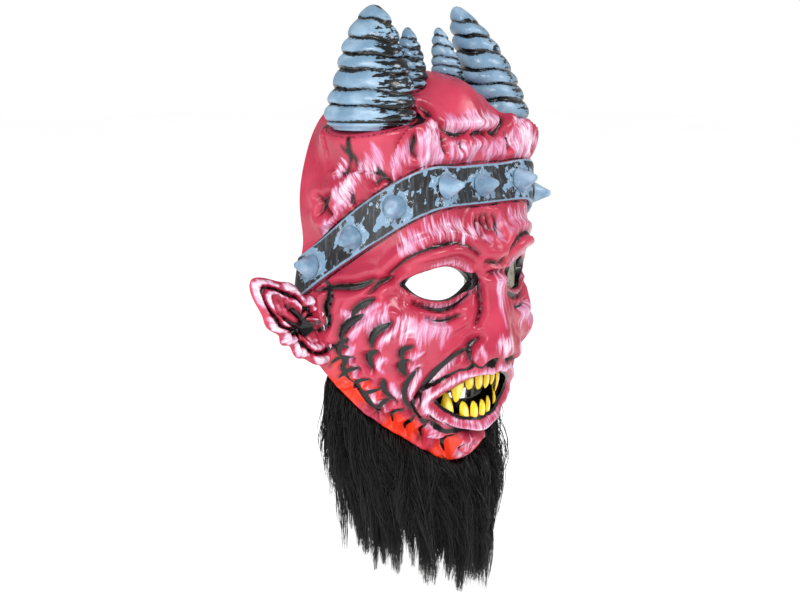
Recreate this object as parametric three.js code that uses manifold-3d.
// A horned devil mask of the kind worn in folk dances: a thin moulded face shell with four ringed
// horns, two pointed ears, a studded headband, a mouth pan with gums and single teeth, a beard of
// long-pile fur and an elastic head strap with a slide adjuster.
// Millimetres. +Z is up, -Y is the way the mask looks, +X is the wearer's left. The origin is in
// the plane of the rear rim, on the middle line, level with the eyes.
import * as THREE from "three";
import { mergeVertices } from "three/addons/utils/BufferGeometryUtils.js";
import Module from "manifold-3d";

const wasm = await Module();
wasm.setup();

// Face shell
const WALL = 2.2;
const GAP = 0.3; // left between pieces that touch
const HALF_WIDTH = 81;
const CROWN_HEIGHT = 105;
const JAW_DROP = 128;
const DEPTH = 96;
const CROWN_SQUARENESS = 3.2; // superellipse exponents of the outline above and below the eyes
const JAW_SQUARENESS = 1.9;
const FULLNESS = { face: 0.8, forehead: 0.45 }; // below 1 the front is flatter than an ellipsoid
const JAW_CUT_BACK = 28; // degrees by which the edge under the jaw stands forward of the rim
const EYE = { x: 35, z: 0, halfWidth: 18, halfHeight: 10 };
const MOUTH = { z: -76, halfWidth: 33, halfHeight: 15 };
const SHELL_GRID = [30, 34]; // facets across and up the shell

// Headband and studs
const BAND = { frontZ: 62, slope: 0.74, frontY: -88, width: 24, thickness: 3 };
const STUD = { radius: 7.5, height: 13, sides: 12, stand: 0.9 };
const STUD_PLACES = [-0.93, -0.69, -0.46, -0.22, 0, 0.22, 0.46, 0.69, 0.93];
const SCREW = { shank: 1.5, clearance: 0.3, head: 5, headHeight: 1.8, sides: 8 };

// Horns: foot is where the axis meets the head, tip is the point of the horn
const LARGE_HORN = {
  foot: [57, -46, 99],
  tip: [38, -28, 172],
  radius: 28,
  flatness: 0.8, // short axis over long axis; the long axis runs outwards and forwards
  turn: 44,
  rings: 6,
  ringHeight: 1.6,
  wall: 3,
  sides: 14,
};
const SMALL_HORN = {
  foot: [17, -41, 119],
  tip: [14, -34, 158],
  radius: 11,
  flatness: 1,
  turn: 0,
  rings: 5,
  ringHeight: 0.9,
  wall: 2.4,
  sides: 12,
};
const BOSS = { radius: 4.5, rise: 16 };
const RIB = 2.4; // thickness of the web that ties the screw boss to the horn's wall
const HORN_ROOT = 10; // how far a horn is drawn into the head before the head is cut away

// Ears
const EAR = { root: [76, -16, -32], tip: [120, -4, 0], facing: [0.2, -0.97, 0.15], thickness: 8 };

// Mouth pan, gums and teeth, as depths behind the face
const PAN = { halfWidth: 37, halfHeight: 23, corner: 15, front: 92, floor: 13, thickness: 2 };
const SLIT = { halfWidth: 17, halfHeight: 4 };
const TOOTH_DEPTH = 8;
const INCISOR = { radius: 2.9, length: 10 };
const FANG = { radius: 3.6, length: 18 };

// Beard
const BEARD = { start: -42, backing: 1.4, below: 52, thickness: 13, taper: 0.6, sideZ: -172, tipZ: -214 };

// Head strap
const STRAP = { z: 10, width: 18, thickness: 1.4, y: -7, tab: 15, bar: 1, loopX: 62, tailX: -42 };
const SLIDER = { x: 14, length: 22, bar: 2.4, rail: 3 };

const rad = THREE.MathUtils.degToRad;
const vector = (x, y, z) => new THREE.Vector3(x, y, z);
const bell = (x, z, cx, cz, sx, sz) => Math.exp(-(((x - cx) / sx) ** 2) - ((z - cz) / sz) ** 2);
const smooth = (t) => THREE.MathUtils.smoothstep(t, 0, 1);

// A closed three.js geometry as a manifold-3d solid.
function solid(geometry) {
  const plain = geometry.clone();
  plain.deleteAttribute("normal");
  plain.deleteAttribute("uv");
  const merged = mergeVertices(plain, 1e-4);
  return new wasm.Manifold(
    new wasm.Mesh({
      numProp: 3,
      vertProperties: new Float32Array(merged.attributes.position.array),
      triVerts: new Uint32Array(merged.index.array),
    }),
  );
}

// A manifold-3d solid as a three.js geometry with flat normals.
function geometryOf(body) {
  const mesh = body.getMesh();
  const indexed = new THREE.BufferGeometry();
  indexed.setAttribute("position", new THREE.BufferAttribute(mesh.vertProperties, 3));
  indexed.setIndex(new THREE.BufferAttribute(mesh.triVerts, 1));
  const geometry = indexed.toNonIndexed();
  geometry.computeVertexNormals();
  return geometry;
}

// A closed body between two surfaces over the square p, q from -1 to 1. The outer one is seen from
// the side from which p runs right and q runs up.
function slabBetween(outer, inner, columns, rows) {
  const positions = [];
  const index = [];
  const perSide = (columns + 1) * (rows + 1);
  for (const surface of [outer, inner])
    for (let j = 0; j <= rows; j++)
      for (let i = 0; i <= columns; i++)
        positions.push(...surface((2 * i) / columns - 1, (2 * j) / rows - 1).toArray());
  const at = (i, j, side) => side * perSide + j * (columns + 1) + i;
  const quad = (a, b, c, d) => index.push(a, b, c, a, c, d);
  for (let j = 0; j < rows; j++)
    for (let i = 0; i < columns; i++) {
      quad(at(i, j, 0), at(i + 1, j, 0), at(i + 1, j + 1, 0), at(i, j + 1, 0));
      quad(at(i, j, 1), at(i, j + 1, 1), at(i + 1, j + 1, 1), at(i + 1, j, 1));
    }
  for (let i = 0; i < columns; i++) {
    quad(at(i, 0, 0), at(i, 0, 1), at(i + 1, 0, 1), at(i + 1, 0, 0));
    quad(at(i, rows, 0), at(i + 1, rows, 0), at(i + 1, rows, 1), at(i, rows, 1));
  }
  for (let j = 0; j < rows; j++) {
    quad(at(0, j, 0), at(0, j + 1, 0), at(0, j + 1, 1), at(0, j, 1));
    quad(at(columns, j, 0), at(columns, j, 1), at(columns, j + 1, 1), at(columns, j + 1, 0));
  }
  const geometry = new THREE.BufferGeometry();
  geometry.setAttribute("position", new THREE.Float32BufferAttribute(positions, 3));
  geometry.setIndex(index);
  return solid(geometry);
}

// A three.js geometry whose own +Z is turned to a direction and moved to a point.
function placed(geometry, point, direction) {
  const turn = new THREE.Quaternion().setFromUnitVectors(vector(0, 0, 1), direction.clone().normalize());
  return geometry.applyQuaternion(turn).translate(point.x, point.y, point.z);
}

// A body turned from a profile of [radius, height] points about +Z.
function turned(profile, sides) {
  const points = profile.map(([radius, height]) => new THREE.Vector2(radius, height));
  return new THREE.LatheGeometry(points, sides).rotateX(Math.PI / 2);
}

function rod(radius, from, to, sides = SCREW.sides) {
  const axis = to.clone().sub(from);
  const geometry = new THREE.CylinderGeometry(radius, radius, axis.length(), sides).rotateX(Math.PI / 2);
  return solid(placed(geometry, from.clone().add(to).multiplyScalar(0.5), axis));
}

function block(low, high) {
  const size = high.clone().sub(low);
  const middle = high.clone().add(low).multiplyScalar(0.5);
  return solid(new THREE.BoxGeometry(size.x, size.y, size.z).translate(middle.x, middle.y, middle.z));
}

// --- The skin: the outer face of the shell, over the unit disc u, v -----------------------------

// Distance from the middle to the rim in the direction of an angle, seen from the front.
function rimReach(angle) {
  const upper = Math.sin(angle) >= 0;
  const power = upper ? CROWN_SQUARENESS : JAW_SQUARENESS;
  const height = upper ? CROWN_HEIGHT : JAW_DROP;
  const across = Math.abs(Math.cos(angle) / HALF_WIDTH) ** power;
  const along = Math.abs(Math.sin(angle) / height) ** power;
  return (across + along) ** (-1 / power);
}

// How far round the dome the shell reaches in that direction, in radians from straight ahead.
function domeAngle(angle) {
  const down = THREE.MathUtils.radToDeg(Math.asin(-Math.sin(angle)));
  return rad(90 - JAW_CUT_BACK * smooth((down - 25) / 60));
}

// How far the face stands out from the plain dome: calm, regular features.
function relief(x, z) {
  const side = Math.abs(x);
  const brow = 8 * bell(side, z, 34, 21 - 0.004 * (side - 34) ** 2, 30, 9);
  const socket = -8 * bell(side, z, EYE.x, EYE.z, 21, 13);
  const temple = -7 * bell(side, z, HALF_WIDTH, 22, 24, 22);
  const forehead = -6 * bell(x, z, 0, 62, 60, 30);
  const bridge = 9 * bell(x, z, 0, -6, 10, 24);
  const noseTip = 16 * bell(x, z, 0, -38, 14, 17);
  const noseWings = 6 * bell(side, z, 14, -44, 9, 9);
  const cheek = 8 * bell(side, z, 50, -34, 20, 17);
  const muzzle = 12 * bell(x, z, 0, MOUTH.z - 2, 44, 26);
  const chin = 13 * bell(x, z, 0, -108, 26, 17);
  const dome = 34 * bell(x, z, 0, 116, 27, 32);
  const shoulders = 10 * bell(side, z, 47, 83, 20, 40);
  const face = brow + socket + temple + forehead + bridge + noseTip + noseWings + cheek;
  return face + muzzle + chin + dome + shoulders;
}

function skinPoint(u, v) {
  const angle = Math.atan2(v, u);
  const turn = Math.hypot(u, v) * domeAngle(angle);
  const reach = rimReach(angle) * Math.sin(turn);
  const ahead = Math.cos(turn);
  const fullness = THREE.MathUtils.lerp(FULLNESS.face, FULLNESS.forehead, smooth((Math.sin(angle) - 0.17) / 0.83));
  const forward = DEPTH * Math.sign(ahead) * Math.abs(ahead) ** fullness;
  const [x, z] = [reach * Math.cos(angle), reach * Math.sin(angle)];
  const height = z > 0 ? CROWN_HEIGHT : JAW_DROP;
  const out = vector(x / HALF_WIDTH, -0.4 - forward / DEPTH, z / height).normalize();
  out.y *= Math.min(1, Math.max(0, forward) / 12);
  return vector(x, -forward, z).addScaledVector(out, relief(x, z));
}

function skinNormal(u, v) {
  const step = 0.012;
  const along = skinPoint(u + step, v).sub(skinPoint(u - step, v));
  const up = skinPoint(u, v + step).sub(skinPoint(u, v - step));
  return along.cross(up).normalize();
}

// The skin lifted off the shell, or inside it where lift is negative.
function skin(u, v, lift = 0) {
  const normal = skinNormal(u, v);
  if (Math.hypot(u, v) > 0.999 && Math.abs(normal.y) < 0.4) normal.setY(0).normalize();
  return skinPoint(u, v).addScaledVector(normal, lift);
}

// The square p, q from -1 to 1 as the unit disc, with no pole.
function disc(p, q) {
  return [p * Math.sqrt(1 - (q * q) / 2), q * Math.sqrt(1 - (p * p) / 2)];
}

function skinLayer(outerLift, innerLift, columns, rows) {
  const surface = (lift) => (p, q) => skin(...disc(p, q), lift);
  return slabBetween(surface(outerLift), surface(innerLift), columns, rows);
}

// The disc point whose skin is nearest to a point.
function discNear(target) {
  let best = { u: 0, v: 0, distance: Infinity };
  const tryAt = (u, v) => {
    const distance = Math.hypot(u, v) > 1 ? Infinity : skinPoint(u, v).distanceTo(target);
    if (distance < best.distance) best = { u, v, distance };
  };
  for (let step = 0.2; step > 0.001; step /= 2) {
    const { u, v } = best;
    for (let i = -5; i <= 5; i++) for (let j = -5; j <= 5; j++) tryAt(u + i * step, v + j * step);
  }
  return best;
}

// Everything behind the skin, for cutting what stands on it.
function headBlank(lift) {
  const front = (p, q) => skin(...disc(p, q), lift);
  const back = (p, q) => skin(...disc(p, q), lift).setY(30);
  return slabBetween(front, back, ...SHELL_GRID).add(skinLayer(lift, lift - WALL, ...SHELL_GRID));
}

// --- Pieces -------------------------------------------------------------------------------------

// A prism along Y over an outline in X and Z.
function prism(shape, fromY, toY) {
  const options = { depth: toY - fromY, bevelEnabled: false, curveSegments: 10 };
  return solid(new THREE.ExtrudeGeometry(shape, options).rotateX(Math.PI / 2).translate(0, toY, 0));
}

// A pointed oval: two arcs that meet at its ends.
function lens(cx, cz, halfWidth, halfHeight, grow = 0) {
  const [w, h] = [halfWidth + grow, (halfHeight + grow) * 1.33];
  const shape = new THREE.Shape();
  shape.moveTo(cx - w, cz);
  shape.bezierCurveTo(cx - w * 0.55, cz - h, cx + w * 0.55, cz - h, cx + w, cz);
  shape.bezierCurveTo(cx + w * 0.55, cz + h, cx - w * 0.55, cz + h, cx - w, cz);
  return shape;
}

function oval(cx, cz, halfWidth, halfHeight) {
  return new THREE.Shape().absellipse(cx, cz, halfWidth, halfHeight, 0, 2 * Math.PI);
}

// Where the headband's middle line crosses the disc column u.
function bandSpot(u) {
  let [low, high] = [-0.2, 0.75];
  for (let round = 0; round < 30; round++) {
    const v = (low + high) / 2;
    const point = skinPoint(u, v);
    if (point.z > BAND.frontZ - BAND.slope * (point.y - BAND.frontY)) high = v;
    else low = v;
  }
  const v = (low + high) / 2;
  return { point: skinPoint(u, v), normal: skinNormal(u, v) };
}

// A screw from inside the shell: its head lies against a face at the given lift.
function screw(point, normal, lift, reach) {
  const seat = point.clone().addScaledVector(normal, lift - GAP);
  const head = rod(SCREW.head, seat.clone().addScaledVector(normal, -SCREW.headHeight), seat);
  const tip = point.clone().addScaledVector(normal, reach);
  const shank = rod(SCREW.shank, seat.clone().addScaledVector(normal, -SCREW.headHeight / 2), tip);
  return head.add(shank);
}

// The hole that a screw needs, from inside the shell outwards.
function screwHole(point, normal, from, to) {
  const start = point.clone().addScaledVector(normal, from);
  return rod(SCREW.shank + SCREW.clearance, start, point.clone().addScaledVector(normal, to));
}

// The flat that a screw's head bears on, cut into the curved inside of the shell.
function spotFace(point, normal, lift = -WALL) {
  const depth = (distance) => point.clone().addScaledVector(normal, distance);
  return rod(SCREW.head + 0.6, depth(lift - 5), depth(lift), 12);
}

// A horn's outline: radius at a height from 0 at its foot to 1 at its tip, with rounded rings.
function hornRadius(horn, t) {
  const taper = Math.sqrt(Math.max(0, 1 - t ** 1.7));
  const ring = Math.abs(Math.sin(Math.PI * horn.rings * t)) ** 0.6 - 0.5;
  return Math.max(0, horn.radius * taper * (1 - 0.12 * t) + horn.ringHeight * ring * Math.min(1, 6 * (1 - t)));
}

// A turned body bent from a horn's foot to its tip. It starts HORN_ROOT below the foot.
function hornBody(horn, side, shrink, rows) {
  const foot = vector(side * horn.foot[0], horn.foot[1], horn.foot[2]);
  const tip = vector(side * horn.tip[0], horn.tip[1], horn.tip[2]);
  const height = tip.z - foot.z - shrink * 2;
  const profile = [[0, -HORN_ROOT]];
  profile.push([hornRadius(horn, 0) - shrink, -HORN_ROOT]);
  for (let row = 0; row < rows; row++) {
    const t = row / rows;
    profile.push([Math.max(0.4, hornRadius(horn, t) - shrink), t * height]);
  }
  profile.push([0, height]);
  const geometry = turned(profile, horn.sides).scale(1, horn.flatness, 1).rotateZ(side * rad(horn.turn));
  const position = geometry.attributes.position;
  for (let i = 0; i < position.count; i++) {
    const point = new THREE.Vector3().fromBufferAttribute(position, i);
    const t = Math.max(0, point.z / height);
    const bend = t ** 1.5;
    point.x += foot.x + (tip.x - foot.x) * bend;
    point.y += foot.y + (tip.y - foot.y) * bend;
    point.z += foot.z;
    position.setXYZ(i, point.x, point.y, point.z);
  }
  return solid(geometry);
}

function hornParts(horn, side, blank) {
  const { u, v } = discNear(vector(side * horn.foot[0], horn.foot[1], horn.foot[2]));
  const spot = { point: skinPoint(u, v), normal: skinNormal(u, v) };
  const top = spot.point.clone().addScaledVector(spot.normal, BOSS.rise);
  const boss = rod(BOSS.radius, spot.point.clone().addScaledVector(spot.normal, -4), top, 10);
  const rib = block(
    vector(side * horn.foot[0] - 40, spot.point.y - RIB / 2, horn.foot[2] - HORN_ROOT),
    vector(side * horn.foot[0] + 40, spot.point.y + RIB / 2, top.z),
  );
  const outside = hornBody(horn, side, 0, horn.rings * 3);
  const hollow = hornBody(horn, side, horn.wall, 7);
  const bored = outside.subtract(hollow).add(boss.add(rib).intersect(outside)).subtract(blank);
  const hole = screwHole(spot.point, spot.normal, -WALL * 3, BOSS.rise - 3);
  return {
    horn: bored.subtract(hole),
    screw: screw(spot.point, spot.normal, -WALL, BOSS.rise - 5),
    hole: hole.add(spotFace(spot.point, spot.normal)),
  };
}

// The direction frame of one ear: along to its tip, up across it, and out of its front.
function earFrame(side) {
  const mirror = ([x, y, z]) => vector(side * x, y, z);
  const root = mirror(EAR.root);
  const along = mirror(EAR.tip).sub(root);
  const length = along.length();
  along.normalize();
  const front = mirror(EAR.facing);
  front.addScaledVector(along, -front.dot(along)).normalize();
  const up = front.clone().cross(along).multiplyScalar(side);
  return { root, along, up, front, length };
}

function earSolid(side, blank) {
  const { root, along, up, front, length } = earFrame(side);
  const shape = new THREE.Shape();
  shape.moveTo(-16, 10);
  shape.bezierCurveTo(4, 15, length * 0.6, 17, length, 0);
  shape.bezierCurveTo(length * 0.92, -12, length * 0.5, -20, 5, -23);
  shape.bezierCurveTo(-4, -24, -18, -22, -22, -10);
  const edge = 2;
  const bevel = { bevelThickness: edge, bevelSize: edge, bevelOffset: -edge, bevelSegments: 2 };
  const options = { depth: EAR.thickness - 2 * edge, curveSegments: 7, ...bevel };
  const leaf = new THREE.ExtrudeGeometry(shape, options).translate(0, 0, edge - EAR.thickness / 2);
  const bowl = new THREE.SphereGeometry(1, 14, 8).scale(19, 10, 5).translate(16, -5, EAR.thickness / 2);
  const upright = new THREE.Matrix4().makeBasis(along, up, front).setPosition(root);
  const facing = side > 0 ? upright : upright.clone();
  const flip = facing.determinant() < 0;
  const body = [leaf, bowl].map((geometry) => {
    geometry.applyMatrix4(facing);
    return solid(flip ? turnedInsideOut(geometry) : geometry);
  });
  return body[0].subtract(body[1]).subtract(blank);
}

// The same triangles wound the other way, for a shape that a mirroring matrix has turned round.
function turnedInsideOut(geometry) {
  const plain = geometry.index ? geometry.toNonIndexed() : geometry;
  const source = plain.attributes.position;
  const wound = [];
  for (let i = 0; i < source.count; i += 3)
    for (const k of [0, 2, 1]) wound.push(source.getX(i + k), source.getY(i + k), source.getZ(i + k));
  const made = new THREE.BufferGeometry();
  return made.setAttribute("position", new THREE.Float32BufferAttribute(wound, 3));
}

// The dental arc: the depth behind which the mouth pan, gums and teeth lie, seen from the front.
function mouthDepth(x, z) {
  return -PAN.front + 0.0165 * x * x - 0.12 * (z - MOUTH.z);
}

function roundedBox(halfWidth, low, high, corner) {
  const shape = new THREE.Shape();
  shape.absarc(halfWidth - corner, low + corner, corner, -Math.PI / 2, 0, false);
  shape.absarc(halfWidth - corner, high - corner, corner, 0, Math.PI / 2, false);
  shape.absarc(corner - halfWidth, high - corner, corner, Math.PI / 2, Math.PI, false);
  shape.absarc(corner - halfWidth, low + corner, corner, Math.PI, 1.5 * Math.PI, false);
  return shape;
}

// A curved layer inside the mouth, between two depths behind the dental arc, cut to an outline.
function mouthLayer(shape, front, back) {
  const surface = (depth) => (p, q) => {
    const [x, z] = [p * 44, MOUTH.z + q * 30];
    return vector(x, mouthDepth(x, z) + depth, z);
  };
  return slabBetween(surface(front), surface(back), 14, 6).intersect(prism(shape, -140, 20));
}

function panOutline(inset) {
  const half = PAN.halfHeight - inset;
  return roundedBox(PAN.halfWidth - inset, MOUTH.z - half, MOUTH.z + half, PAN.corner - inset);
}

function mouthPan(cavity) {
  const outer = mouthLayer(panOutline(0), -6, PAN.floor + PAN.thickness);
  const inside = mouthLayer(panOutline(PAN.thickness), -12, PAN.floor);
  const slit = prism(oval(0, MOUTH.z, SLIT.halfWidth, SLIT.halfHeight), -140, 20);
  return outer.subtract(inside).subtract(slit).intersect(cavity);
}

// One tooth: a rounded cone on the dental arc, standing up or hanging down.
function tooth(kind, x, direction, grow = 0) {
  const radius = kind.radius + grow;
  const length = kind.length + 2 * grow;
  const profile = [
    [0, 0],
    [radius * 0.8, 0],
    [radius, length * 0.35],
    [radius * 0.72, length * 0.72],
    [0, length],
  ];
  const geometry = turned(profile, 8).scale(1, 0.8, 1).translate(0, 0, -grow);
  const rootZ = MOUTH.z - direction * (MOUTH.halfHeight + 1);
  const point = vector(x, mouthDepth(x, rootZ) + TOOTH_DEPTH, rootZ);
  return solid(placed(geometry, point, vector(0, 0, direction)));
}

// The teeth of one jaw: what each is, and where along the arc.
function toothRow(direction) {
  const pitch = direction < 0 ? 7.6 : 7.2;
  const fangX = direction < 0 ? 19 : 22.5; // the lower fangs stand outside the upper ones
  const incisors = [-1.5, -0.5, 0.5, 1.5].map((step) => [INCISOR, step * pitch]);
  return [[FANG, -fangX], ...incisors, [FANG, fangX]];
}

function gum(direction, row, cavity) {
  const near = MOUTH.z - direction * (MOUTH.halfHeight - 4);
  const far = MOUTH.z - direction * (PAN.halfHeight - PAN.thickness - 1);
  const outline = roundedBox(30, Math.min(near, far), Math.max(near, far), 3);
  const inside = mouthLayer(panOutline(PAN.thickness + GAP), 0, PAN.floor + 1);
  const bar = mouthLayer(outline, 4.5, PAN.floor - GAP).intersect(inside).intersect(cavity);
  return row.reduce((body, [kind, x]) => body.subtract(tooth(kind, x, direction, GAP)), bar);
}

// The jaw's edge, a little inside the shell: an angle from the right ear (start) to the left one.
function jawEdge(across, inset) {
  const angle = rad(-90 + across * (90 + BEARD.start));
  return skin(Math.cos(angle) * inset, Math.sin(angle) * inset, -WALL - 1.2);
}

// The direction from a jaw point towards the wearer's neck, level with the ground.
function towardsNeck(point) {
  return vector(-point.x, -8 - point.y, 0).normalize();
}

function beardBacking() {
  const surface = (depth) => (p, q) => {
    const top = jawEdge(p, 0.96);
    const edge = jawEdge(p, 1);
    const drop = Math.max(0, -q);
    const point = q > 0 ? edge.clone().lerp(top, q) : edge.clone();
    point.z -= drop * BEARD.below;
    return point.addScaledVector(towardsNeck(edge), depth);
  };
  return slabBetween(surface(0), surface(BEARD.backing), 22, 6);
}

function beardHair() {
  const surface = (front) => (p, q) => {
    const edge = jawEdge(p, 1);
    const share = (1 - q) / 2;
    const centre = Math.cos((p * Math.PI) / 2);
    const bottom = THREE.MathUtils.lerp(BEARD.sideZ, BEARD.tipZ, centre ** 0.8);
    const fullness = BEARD.thickness * (0.55 + 0.45 * centre);
    const outwards = front ? 1.6 + fullness * Math.sin(Math.PI * 0.82 * share ** 0.7) : GAP;
    const point = edge.clone().addScaledVector(towardsNeck(edge), -outwards);
    point.x *= 1 - BEARD.taper * Math.max(0, share - 0.6);
    point.z = THREE.MathUtils.lerp(edge.z - 5, bottom, share);
    return point;
  };
  return slabBetween(surface(true), surface(false), 22, 8);
}

// The elastic in plan: a tab on the right wall, a straight run, a turn round the loop's bar, a tail.
function strapSolid(tabX) {
  const t = STRAP.thickness;
  const near = STRAP.bar + GAP;
  const far = near + t;
  const bend = 5;
  const bendY = STRAP.y - near - bend;
  const shape = new THREE.Shape();
  shape.moveTo(-tabX + t, STRAP.y - STRAP.tab);
  shape.lineTo(-tabX, STRAP.y - STRAP.tab);
  shape.absarc(-tabX + bend, bendY, bend, Math.PI, Math.PI / 2, true);
  shape.absarc(STRAP.loopX, STRAP.y, near, -Math.PI / 2, Math.PI / 2, false);
  shape.lineTo(STRAP.tailX, STRAP.y + near);
  shape.lineTo(STRAP.tailX, STRAP.y + far);
  shape.absarc(STRAP.loopX, STRAP.y, far, Math.PI / 2, -Math.PI / 2, true);
  shape.absarc(-tabX + bend, bendY, bend - t, Math.PI / 2, Math.PI, false);
  const flat = new THREE.ExtrudeGeometry(shape, { depth: STRAP.width, bevelEnabled: false, curveSegments: 5 });
  return solid(flat.translate(0, 0, STRAP.z - STRAP.width / 2));
}

// The loop on the left wall: a plate under the last stud's screw, two arms and an upright bar.
function strapLoop(plateX) {
  const half = STRAP.width / 2 + 1;
  const arm = 2;
  const plate = block(
    vector(plateX - 1.6, STRAP.y - STRAP.tab, STRAP.z - half),
    vector(plateX, STRAP.y + 1.5, STRAP.z + half),
  );
  const arms = [-1, 1].map((side) =>
    block(
      vector(STRAP.loopX - 1.5, STRAP.y - 1.5, STRAP.z + side * (half + arm / 2) - arm / 2),
      vector(plateX, STRAP.y + 1.5, STRAP.z + side * (half + arm / 2) + arm / 2),
    ),
  );
  const post = rod(
    STRAP.bar,
    vector(STRAP.loopX, STRAP.y, STRAP.z - half - 0.5),
    vector(STRAP.loopX, STRAP.y, STRAP.z + half + 0.5),
  );
  return plate.add(arms[0]).add(arms[1]).add(post);
}

// The slide adjuster: two rails, two bars behind the elastic and one in front of it.
function strapSlider() {
  const half = STRAP.width / 2 + 0.5;
  const reach = STRAP.bar + GAP + STRAP.thickness + 0.4;
  const deep = reach + 2;
  const bar = (x, from, to) =>
    block(
      vector(SLIDER.x + x - SLIDER.bar / 2, from, STRAP.z - half - 1),
      vector(SLIDER.x + x + SLIDER.bar / 2, to, STRAP.z + half + 1),
    );
  const rails = [-1, 1].map((side) => {
    const middle = STRAP.z + side * (half + SLIDER.rail / 2);
    return block(
      vector(SLIDER.x - SLIDER.length / 2, STRAP.y - deep, middle - SLIDER.rail / 2),
      vector(SLIDER.x + SLIDER.length / 2, STRAP.y + deep, middle + SLIDER.rail / 2),
    );
  });
  const end = (SLIDER.length - SLIDER.bar) / 2;
  const bars = [
    bar(-end, STRAP.y + reach, STRAP.y + deep),
    bar(0, STRAP.y - deep, STRAP.y - reach),
    bar(end, STRAP.y + reach, STRAP.y + deep),
  ];
  return bars.reduce((body, next) => body.add(next), rails[0].add(rails[1]));
}

// --- Assembly -----------------------------------------------------------------------------------

const paint = (colour, roughness, metalness = 0) =>
  new THREE.MeshStandardMaterial({ color: colour, roughness, metalness });
const FINISH = {
  red: paint(0xc2384e, 0.35),
  horn: paint(0x7d9db5, 0.4),
  band: paint(0x2a2b2e, 0.45),
  stud: paint(0x8aa6bb, 0.4),
  screw: paint(0xb8b8b8, 0.35, 1),
  tooth: paint(0xe8c928, 0.35),
  gum: paint(0x8c2230, 0.4),
  black: paint(0x18181a, 0.4),
  hair: paint(0x1b1b1c, 0.85),
  elastic: paint(0x202022, 0.9),
  plastic: paint(0x242428, 0.5),
};

const mask = new THREE.Group();
function add(name, body, finish) {
  const mesh = new THREE.Mesh(geometryOf(body), FINISH[finish]);
  mesh.name = name;
  mask.add(mesh);
}

const SIDES = { right: -1, left: 1 };
const blank = headBlank(GAP);
const cavity = headBlank(-WALL - GAP);
const holes = [];

// Horns, each with one screw from inside the head
for (const [size, horn] of [["large", LARGE_HORN], ["small", SMALL_HORN]])
  for (const [hand, side] of Object.entries(SIDES)) {
    const parts = hornParts(horn, side, blank);
    add(`${size}_horn_${hand}`, parts.horn, "horn");
    add(`${size}_horn_screw_${hand}`, parts.screw, "screw");
    holes.push(parts.hole);
  }

// Headband: the part of a layer on the skin between two slanting planes
const bandTilt = Math.atan(BAND.slope);
const bandSlab = solid(
  new THREE.BoxGeometry(240, 300, BAND.width * Math.cos(bandTilt / 2))
    .rotateX(-bandTilt)
    .translate(0, BAND.frontY, BAND.frontZ),
);
const bandHoles = [];
const strapFaces = [];
STUD_PLACES.forEach((place, i) => {
  const { point, normal } = bandSpot(place);
  const foot = GAP + BAND.thickness + STUD.stand;
  const seat = point.clone().addScaledVector(normal, foot);
  const cone = turned(
    [
      [0, 0],
      [STUD.radius, 0],
      [STUD.radius, 1.2],
      [STUD.radius * 0.3, STUD.height * 0.82],
      [0, STUD.height],
    ],
    STUD.sides,
  );
  const bore = screwHole(point, normal, -WALL * 4, foot + STUD.height * 0.6);
  const end = i === 0 || i === STUD_PLACES.length - 1;
  const under = end ? -WALL - 4.8 : -WALL; // the end screws also hold the head strap
  add(`stud_${i + 1}`, solid(placed(cone, seat, normal)).subtract(bore), "stud");
  add(`stud_screw_${i + 1}`, screw(point, normal, under, foot + STUD.height * 0.5), "screw");
  bandHoles.push(bore);
  holes.push(end ? bore : bore.add(spotFace(point, normal)));
  if (end) strapFaces.push(bore.add(spotFace(point, normal, under)));
});
const bandLayer = skinLayer(GAP + BAND.thickness, GAP, ...SHELL_GRID).intersect(bandSlab);
add("headband", bandHoles.reduce((body, hole) => body.subtract(hole), bandLayer), "band");

// Ears, each with one screw from inside the head
for (const [hand, side] of Object.entries(SIDES)) {
  const [u, v] = [side * 0.86, -0.3];
  const spot = { point: skinPoint(u, v), normal: skinNormal(u, v) };
  const hole = screwHole(spot.point, spot.normal, -WALL * 3, 10);
  add(`ear_${hand}`, earSolid(side, blank).subtract(hole), "red");
  add(`ear_screw_${hand}`, screw(spot.point, spot.normal, -WALL, 8), "screw");
  holes.push(hole, spotFace(spot.point, spot.normal));
}

// Face shell with its eye holes and its mouth
const eyes = Object.values(SIDES).map((side) =>
  prism(lens(side * EYE.x, EYE.z, EYE.halfWidth, EYE.halfHeight), -140, -40),
);
const mouth = prism(lens(0, MOUTH.z, MOUTH.halfWidth, MOUTH.halfHeight), -140, -40);
const openings = [...eyes, mouth, ...holes];
const shell = skinLayer(0, -WALL, ...SHELL_GRID);
add("face_shell", openings.reduce((body, hole) => body.subtract(hole), shell), "red");

// Mouth
add("mouth_pan", mouthPan(cavity), "black");
for (const [jaw, direction] of [["upper", -1], ["lower", 1]]) {
  const row = toothRow(direction);
  add(`${jaw}_gum`, gum(direction, row, cavity), "gum");
  row.forEach(([kind, x], i) => {
    const name = kind === FANG ? `${jaw}_fang_${x < 0 ? "right" : "left"}` : `${jaw}_incisor_${i}`;
    add(name, tooth(kind, x, direction).intersect(cavity), "tooth");
  });
}

// Beard
const shellRoom = skinLayer(GAP, -WALL - GAP, ...SHELL_GRID);
add("beard_backing", beardBacking().subtract(shellRoom), "elastic");
add("beard_hair", beardHair().subtract(shellRoom), "hair");

// Head strap
const wallX = bandSpot(STUD_PLACES.at(-1)).point.x - WALL;
const tabX = wallX - 3.4;
add("head_strap", strapSolid(tabX).subtract(strapFaces[0]), "elastic");
add("strap_loop", strapLoop(tabX).subtract(strapFaces[1]), "plastic");
add("strap_slider", strapSlider(), "plastic");

export default mask;
